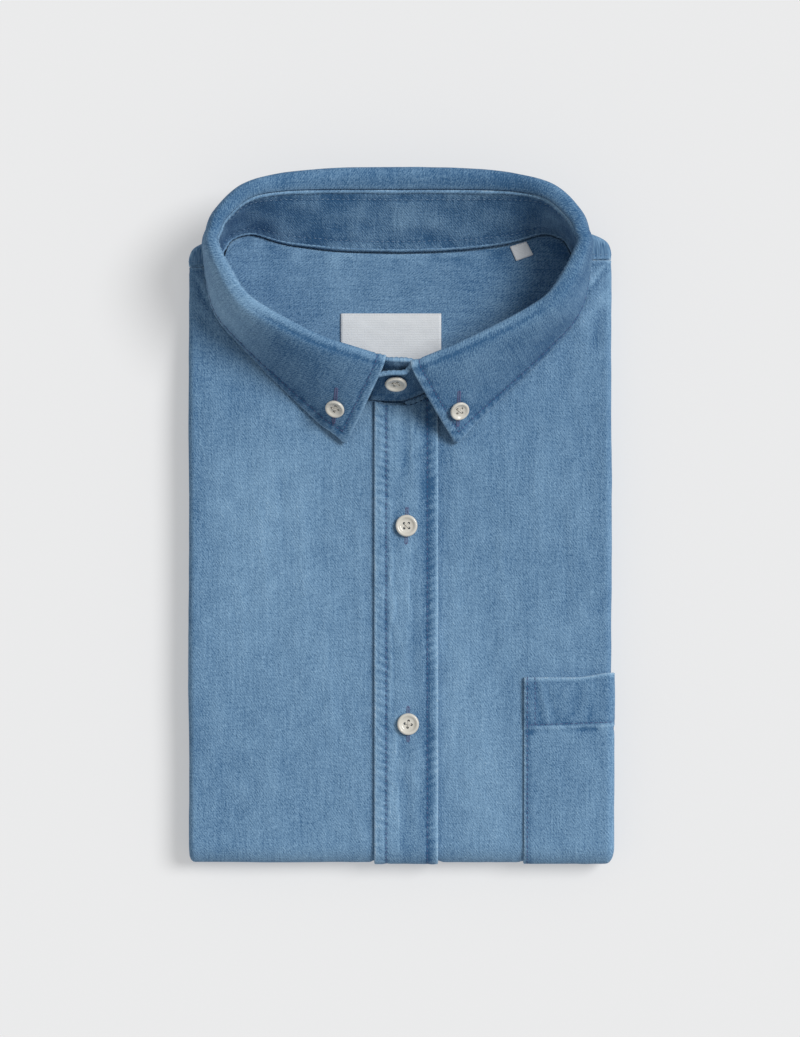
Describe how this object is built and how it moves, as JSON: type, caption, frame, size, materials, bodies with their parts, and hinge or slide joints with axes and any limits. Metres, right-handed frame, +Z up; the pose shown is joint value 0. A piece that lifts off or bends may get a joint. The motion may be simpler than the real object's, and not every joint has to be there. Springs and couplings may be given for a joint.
{
  "type": "folded denim shirt",
  "caption": "Light blue denim shirt folded face up, with a standing button-down collar, front placket and a wrapped chest pocket.",
  "frame": {"origin": "centre of the bounding box in plan, on the surface that the shirt lies on", "axes": "+Y from the lower fold to the collar, +Z up from the surface, +X to the wearer's left"},
  "size_m": [0.2214, 0.362, 0.0531],
  "materials": {
    "denim": "light washed blue denim twill, matt, faded along the seams",
    "label_weave": "pale woven label, bare",
    "pearl_button": "cream four-hole shirt button, satin"
  },
  "bodies": {
    "root": {"folded_layers": "denim", "front_right": "denim", "front_left": "denim", "front_placket": "denim", "chest_pocket": "denim", "back_yoke": "denim", "inner_yoke": "denim", "collar_stand": "denim", "collar_leaf": "denim", "main_label": "label_weave", "size_tab": "label_weave", "stand_button": "pearl_button", "collar_button_right": "pearl_button", "collar_button_left": "pearl_button", "front_button_upper": "pearl_button", "front_button_lower": "pearl_button"}
  },
  "joints": []
}
